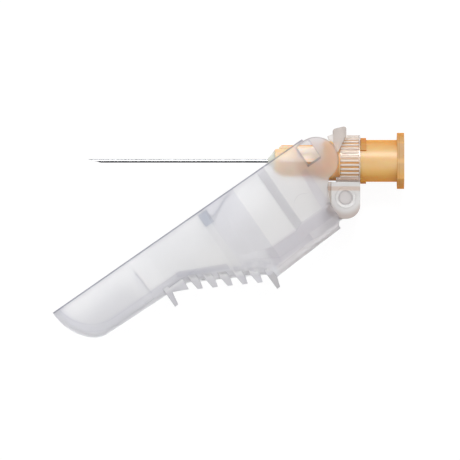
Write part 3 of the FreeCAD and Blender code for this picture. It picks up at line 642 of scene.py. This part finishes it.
def orange_plastic():
    """Waxy orange hub: golden on its broad faces, deeper at its rims, where painted shade sets in on its
    upright faces, and at its lugs, pale at its fins, with painted highlights and painted light on its nose
    and painted shade on its lower side.
    """
    tree = Tree("orange_polypropylene")
    x, y, z = tree.place()
    radius = tree.distance(y, z)
    colour = tree.ramp(tree.noise(260.0, 3.0), ORANGE_CLOUD)
    # painted shade: deeper orange on faces that turn from level
    colour = tree.tint(colour, 1.0, tree.ramp(tree.facing(), ORANGE_SLOPE_SHADE))
    colour = tree.tints(colour, hub_masks(tree, x, y, radius), HUB_SHADES)
    for name, mask in nose_masks(tree, x, y, z, radius).items():
        strength, cover = HUB_COVERS[name]
        colour = tree.mix_colour(tree.math("MULTIPLY", mask, strength), colour, cover)
    colour = tree.tint(colour, tree.edges(0.12 * MM, 0.98, 0.8), HUB_EDGE_SHADE)

    normal = tree.bump(tree.noise(1500.0, 3.0), distance=0.02 * MM, strength=0.2, rounding=0.08 * MM)
    gloss = tree.math("MULTIPLY", tree.step(tree.facing(), 0.2, 0.9), HUB_GLOSS)
    return tree.finish(tree.principled(
        colour, Roughness=0.38, IOR=1.5, Normal=normal, Transmission_Weight=0.06,
        Subsurface_Weight=0.85, Subsurface_Radius=(1.0, 0.55, 0.25), Subsurface_Scale=0.7 * MM,
        Specular_IOR_Level=gloss, Coat_Weight=gloss, Coat_Roughness=0.36,
    ))


def drawn_steel():
    """Bright tube with fine drawing lines along it, a painted dark reflection along its side away from the
    light and a painted grey reflection along its upper edge.
    """
    tree = Tree("drawn_steel")
    _, y, _ = tree.place()
    masks = {
        # painted reflection: a dark streak along the tube's lower side
        "dark_reflection": tree.both(tree.step(y, 0.02, -0.13), tree.step(y, -0.252, -0.238)),
        # painted reflection: a grey line along the tube's upper edge
        "upper_edge_reflection": tree.step(y, 0.17, 0.22),
    }
    colour = tree.ramp(tree.noise(4000.0, stretch=(0.02, 1.0, 1.0)), STEEL_LINES)
    colour = tree.tints(colour, masks, STEEL_SHADES)
    return tree.finish(tree.principled(colour, Metallic=1.0, Roughness=0.22))


def cured_adhesive():
    """Pale green adhesive, glossy and half clear."""
    tree = Tree("cured_adhesive")
    colour = tree.ramp(tree.noise(900.0), ADHESIVE_CLOUD)
    normal = tree.bump(tree.noise(1800.0), distance=0.02 * MM, strength=0.3, rounding=0.05 * MM)
    return tree.finish(tree.principled(
        colour, Roughness=0.2, IOR=1.5, Normal=normal, Transmission_Weight=0.25,
        Subsurface_Weight=0.5, Subsurface_Radius=(0.6, 0.6, 0.5), Subsurface_Scale=0.5 * MM,
    ))


def smooth_by_angle(item, degrees):
    """Shade an object smooth, except across edges sharper than an angle."""
    name = f"smooth_by_{degrees}"
    group = bpy.data.node_groups.get(name)
    if not group:
        group = bpy.data.node_groups.new(name, "GeometryNodeTree")
        group.interface.new_socket("Geometry", in_out="INPUT", socket_type="NodeSocketGeometry")
        group.interface.new_socket("Geometry", in_out="OUTPUT", socket_type="NodeSocketGeometry")
        entry = group.nodes.new("NodeGroupInput")
        leave = group.nodes.new("NodeGroupOutput")
        angle = group.nodes.new("GeometryNodeInputMeshEdgeAngle")
        compare = group.nodes.new("FunctionNodeCompare")
        compare.data_type = "FLOAT"
        compare.operation = "LESS_EQUAL"
        compare.inputs["B"].default_value = math.radians(degrees)
        faces = group.nodes.new("GeometryNodeSetShadeSmooth")
        faces.domain = "FACE"
        edges = group.nodes.new("GeometryNodeSetShadeSmooth")
        edges.domain = "EDGE"
        group.links.new(entry.outputs[0], faces.inputs["Geometry"])
        group.links.new(faces.outputs["Geometry"], edges.inputs["Geometry"])
        group.links.new(angle.outputs["Unsigned Angle"], compare.inputs["A"])
        group.links.new(compare.outputs["Result"], edges.inputs["Shade Smooth"])
        group.links.new(edges.outputs["Geometry"], leave.inputs[0])
    item.modifiers.new("smooth", "NODES").node_group = group


def dress(node, material, degrees):
    """Give a CAD node its material, and weld and smooth its faces."""
    item = nodes[node]
    item.data.materials.clear()
    item.data.materials.append(material)
    item.modifiers.new("weld", "WELD").merge_threshold = 0.001 * MM
    smooth_by_angle(item, degrees)


def mesh_object(name, form):
    """A form as an object in the scene."""
    mesh = bpy.data.meshes.new(name)
    form.to_mesh(mesh)
    form.free()
    item = bpy.data.objects.new(name, mesh)
    scene.collection.objects.link(item)
    return item


def new_piece(name, node, material, form):
    """A finished piece that stands for a CAD node and rides with the needle."""
    bmesh.ops.recalc_face_normals(form, faces=form.faces)
    piece = mesh_object(name, form)
    piece.data.materials.append(material)
    smooth_by_angle(piece, ROUND_ANGLE)
    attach(piece, "needle")
    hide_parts(node)


def lathe(profile):
    """A closed form turned about the X axis from an outline of (x, radius) points, in metres."""
    form = bmesh.new()
    angles = [2 * math.pi * i / ROUND_SIDES for i in range(ROUND_SIDES)]
    rings = [
        [form.verts.new((x, radius * math.sin(angle), radius * math.cos(angle))) for angle in angles]
        for x, radius in profile
    ]
    for ring, following in zip(rings, rings[1:] + rings[:1]):
        for i in range(ROUND_SIDES):
            j = (i + 1) % ROUND_SIDES
            form.faces.new((ring[i], ring[j], following[j], following[i]))
    return form


def wedge(reach, length, turn, radius):
    """A cutting form whose slope crosses the tube over a length from its point, turned about its axis."""
    high = 2 * radius
    corners = [(-reach - length / 2, high), (-reach - length / 2, -high), (-reach + 1.5 * length, -high)]
    form = bmesh.new()
    sides = [[form.verts.new((x, y, z)) for x, y in corners] for z in (-high, high)]
    form.faces.new(sides[0][::-1])
    form.faces.new(sides[1])
    for i in range(3):
        j = (i + 1) % 3
        form.faces.new((sides[0][i], sides[0][j], sides[1][j], sides[1][i]))
    bmesh.ops.recalc_face_normals(form, faces=form.faces)
    bmesh.ops.rotate(form, verts=form.verts, cent=(0, 0, 0), matrix=Matrix.Rotation(turn, 3, "X"))
    return form


def make_tube(material):
    """The steel tube with a round section, a long bevel and two lancet facets at its point."""
    low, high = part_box("cannula")
    radius = (high[2] - low[2]) / 2
    bore = TUBE_BORE * MM
    outline = [(low[0], bore), (low[0], radius), (high[0], radius), (high[0], bore)]
    tube = mesh_object("tube_blank", lathe(outline))
    cuts = (
        ("bevel", BEVEL_LENGTH, 0.0), ("near", LANCET_LENGTH, LANCET_TURN),
        ("far", LANCET_LENGTH, -LANCET_TURN),
    )
    cutters = []
    for name, length, turn in cuts:
        cutter = mesh_object(f"tube_{name}", wedge(-low[0], length * MM, turn, radius))
        cut = tube.modifiers.new(name, "BOOLEAN")
        cut.operation = "DIFFERENCE"
        cut.solver = "EXACT"
        cut.object = cutter
        cutters.append(cutter)
    bpy.context.view_layer.update()
    shaped = tube.evaluated_get(bpy.context.evaluated_depsgraph_get())
    form = bmesh.new()
    form.from_mesh(shaped.to_mesh())
    shaped.to_mesh_clear()
    for item in [tube] + cutters:
        bpy.data.objects.remove(item)
    new_piece("needle_tube", "cannula", material, form)


def make_bead(material):
    """The adhesive: a meniscus that sweeps from the hub's nose up to the tube."""
    low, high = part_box("adhesive_bead")
    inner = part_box("cannula")[1][2] + BEAD_GAP * MM
    seat = -(NOSE_REACH + SEAT_GAP) * MM
    outline = [(low[0], inner)]
    for i in range(BEAD_STEPS + 1):
        share = i / BEAD_STEPS
        radius = BEAD_TIP + (BEAD_FOOT - BEAD_TIP) * share - BEAD_HOLLOW * math.sin(math.pi * share)
        outline.append((low[0] + (seat - low[0]) * share, radius * MM))
    well = WELL_RADIUS * MM
    outline += [(seat, well), (high[0], well), (high[0], inner)]
    new_piece("adhesive_cone", "adhesive_bead", material, lathe(outline))


def make_floor():
    """White floor that the object lies on, bright to the eye and shaded where it is covered."""
    bpy.ops.mesh.primitive_plane_add(size=FLOOR_SIZE, location=(0, 0, FLOOR_HEIGHT))
    floor = bpy.context.object
    floor.name = "floor"
    tree = Tree("white_floor")
    path = tree.add("ShaderNodeLightPath")
    seen = tree.math("MAXIMUM", path.outputs["Is Camera Ray"], path.outputs["Is Glossy Ray"])
    seen = tree.math("MAXIMUM", seen, path.outputs["Is Transmission Ray"])
    share = tree.math("MULTIPLY", seen, FLOOR_GLOW_SHARE)
    diffuse = tree.add("ShaderNodeBsdfDiffuse", Color=FLOOR_COLOUR)
    glow = tree.add("ShaderNodeEmission", Strength=FLOOR_GLOW)
    floor.data.materials.append(tree.finish(tree.mix_shader(share, diffuse, glow)))


def make_world():
    """Even white surroundings."""
    world = bpy.data.worlds.new("studio")
    world.use_nodes = True
    background = world.node_tree.nodes["Background"]
    background.inputs["Color"].default_value = (1.0, 1.0, 1.0, 1.0)
    background.inputs["Strength"].default_value = WORLD_LIGHT
    scene.world = world


def add_lamp(name, place, size, power):
    """A square soft lamp that faces the object."""
    light = bpy.data.lights.new(name, "AREA")
    light.shape = "SQUARE"
    light.size = size
    light.energy = power
    lamp = bpy.data.objects.new(name, light)
    lamp.location = place
    aim = Vector(LAMP_AIM) - Vector(place)
    lamp.rotation_mode = "QUATERNION"
    lamp.rotation_quaternion = aim.to_track_quat("-Z", "Y")
    scene.collection.objects.link(lamp)


def make_camera():
    """The photograph's view: straight down on the needle as it lies on its side."""
    data = bpy.data.cameras.new("camera")
    data.sensor_width = SENSOR
    data.lens = SENSOR * CAMERA_HEIGHT / PHOTO_SPAN
    data.clip_start = 0.01
    data.clip_end = 10.0
    camera = bpy.data.objects.new("camera", data)
    camera.location = (*PHOTO_CENTRE, CAMERA_HEIGHT)
    scene.collection.objects.link(camera)
    scene.camera = camera


scene.view_settings.view_transform = "Standard"
make_camera()
make_world()
make_floor()
add_lamp("key", place=(-0.02, 0.36, 0.50), size=0.22, power=2.1)
add_lamp("fill", place=(0.3, -0.3, 0.5), size=0.4, power=0.35)

dress("sheath", frosted_plastic(), degrees=17.8)
dress("collar", clear_plastic(), degrees=45)
dress("hub", orange_plastic(), degrees=25)
make_tube(drawn_steel())
make_bead(cured_adhesive())
